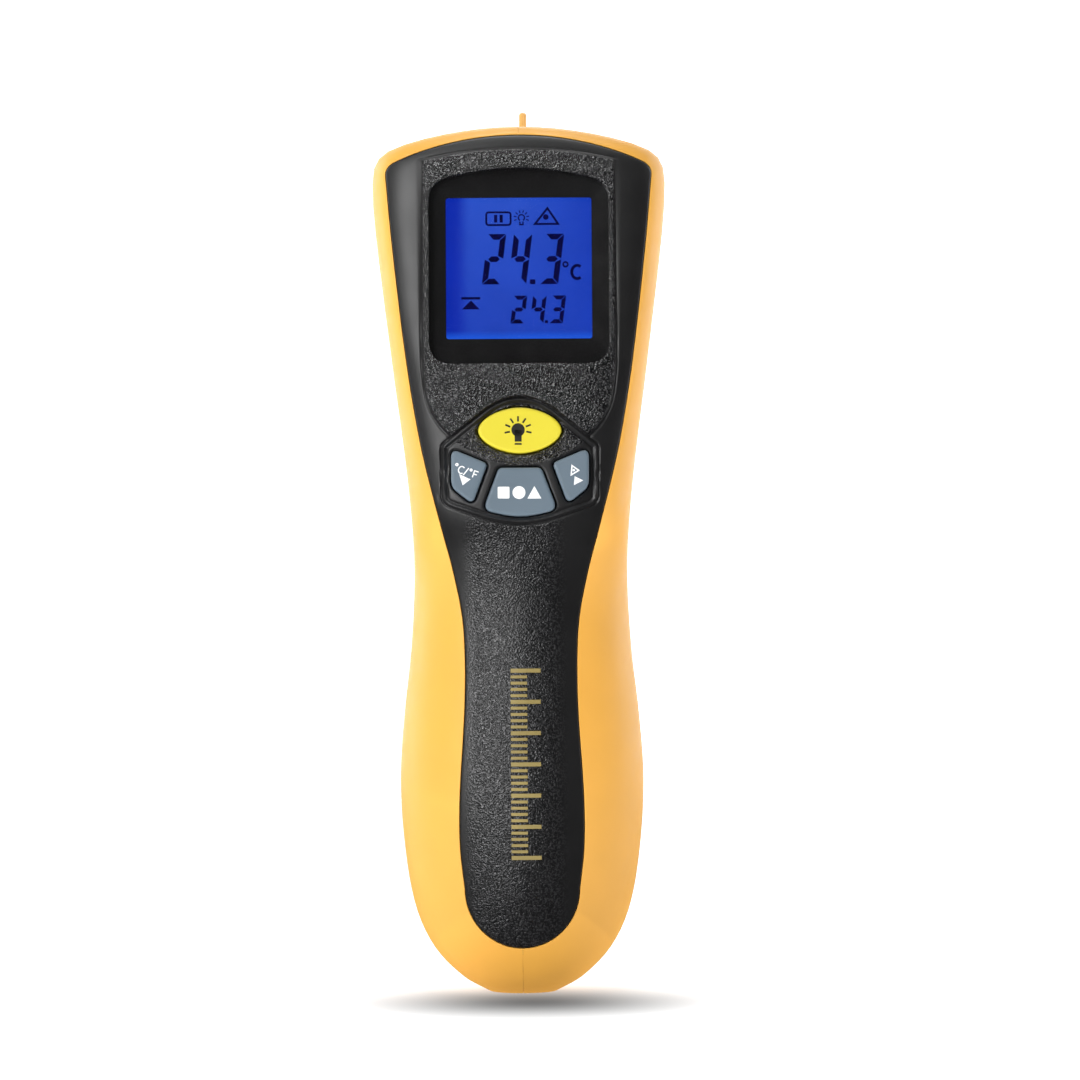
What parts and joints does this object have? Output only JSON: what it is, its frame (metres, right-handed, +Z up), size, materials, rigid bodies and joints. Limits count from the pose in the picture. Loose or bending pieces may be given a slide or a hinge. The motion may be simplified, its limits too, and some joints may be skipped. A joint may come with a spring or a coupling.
{
  "type": "infrared thermometer",
  "caption": "Hand-held infrared thermometer with a barrel, a handle, a backlit display, keys, a trigger and a hinged battery door.",
  "frame": {"origin": "middle of the flat base of the handle", "axes": "+Z up the handle, +Y along the barrel towards the target, +X to the right of someone who reads the display"},
  "size_m": [0.0532, 0.0886, 0.1627],
  "materials": {
    "shell_plastic": "satin moulded ABS, fine spark-eroded grain",
    "fascia_plastic": "black, pebbled in the middle and smooth at the sides",
    "bezel_plastic": "black, satin",
    "window_clear": "clear, glossy",
    "lcd_blue": "blue backlit display with dark segments",
    "key_yellow": "yellow silicone, satin",
    "key_grey": "blue-grey silicone, satin",
    "black_plastic": "black",
    "white_plastic": "white",
    "black_rubber": "black",
    "circuit_board": "green solder mask",
    "steel": "zinc-plated",
    "aluminium": "turned",
    "brass": "turned",
    "lens_dark": "smooth infrared lens",
    "battery_jacket": "plain printed jacket",
    "lead_red": "red insulation"
  },
  "bodies": {
    "housing": {"left_shell": "shell_plastic", "right_shell": "shell_plastic", "rear_fascia": "fascia_plastic", "front_bezel": "bezel_plastic", "display_window": "window_clear", "laser_window": "window_clear", "lcd_panel": "lcd_blue", "lcd_backlight": "white_plastic", "lcd_connector_strip": "black_rubber", "keypad_dome_sheet": "black_rubber", "main_board": "circuit_board", "sensor_board": "circuit_board", "trigger_switch_board": "circuit_board", "beeper": "black_plastic", "trigger_switch": "black_plastic", "trigger_pin": "steel", "door_hinge_pin": "steel", "ir_lens": "lens_dark", "lens_retaining_ring": "black_plastic", "sensor_tube": "aluminium", "thermopile_sensor": "steel", "sensor_cable": "white_plastic", "laser_module": "brass", "laser_lead": "lead_red", "trigger_lead": "white_plastic", "battery_9v": "battery_jacket", "battery_snap": "black_rubber", "battery_lead_red": "lead_red", "battery_lead_black": "black_rubber", "housing_screw_1": "steel", "board_screw_1": "steel", "housing_screw_2": "steel", "board_screw_2": "steel", "housing_screw_3": "steel", "board_screw_3": "steel", "housing_screw_4": "steel", "board_screw_4": "steel"},
    "backlight_key_body": {"backlight_key": "key_yellow"},
    "unit_key_body": {"unit_key": "key_grey"},
    "mode_key_body": {"mode_key": "key_grey"},
    "laser_key_body": {"laser_key": "key_grey"},
    "trigger_body": {"trigger": "bezel_plastic", "trigger_spring": "steel"},
    "battery_door_body": {"battery_door": "shell_plastic"}
  },
  "joints": [
    {"name": "backlight_key_press", "type": "slide", "parent": "housing", "child": "backlight_key_body", "axis": [0, 0.9954, -0.0958], "range_m": [0, 0.0008], "stiffness_N_per_m": 700, "springref_m": -0.0004},
    {"name": "unit_key_press", "type": "slide", "parent": "housing", "child": "unit_key_body", "axis": [0, 0.9954, -0.0958], "range_m": [0, 0.0008], "stiffness_N_per_m": 700, "springref_m": -0.0004},
    {"name": "mode_key_press", "type": "slide", "parent": "housing", "child": "mode_key_body", "axis": [0, 0.9954, -0.0958], "range_m": [0, 0.0008], "stiffness_N_per_m": 700, "springref_m": -0.0004},
    {"name": "laser_key_press", "type": "slide", "parent": "housing", "child": "laser_key_body", "axis": [0, 0.9954, -0.0958], "range_m": [0, 0.0008], "stiffness_N_per_m": 700, "springref_m": -0.0004},
    {"name": "trigger_pull", "type": "hinge", "parent": "housing", "child": "trigger_body", "pos_m": [0, 0.015, 0.105], "axis": [-1, 0, 0], "range_deg": [0, 9], "stiffness_Nm_per_rad": 0.4, "springref_deg": -5.73},
    {"name": "battery_door_swing", "type": "hinge", "parent": "housing", "child": "battery_door_body", "pos_m": [0, 0.0123, 0.0082], "axis": [-1, 0, 0], "range_deg": [0, 75]}
  ]
}
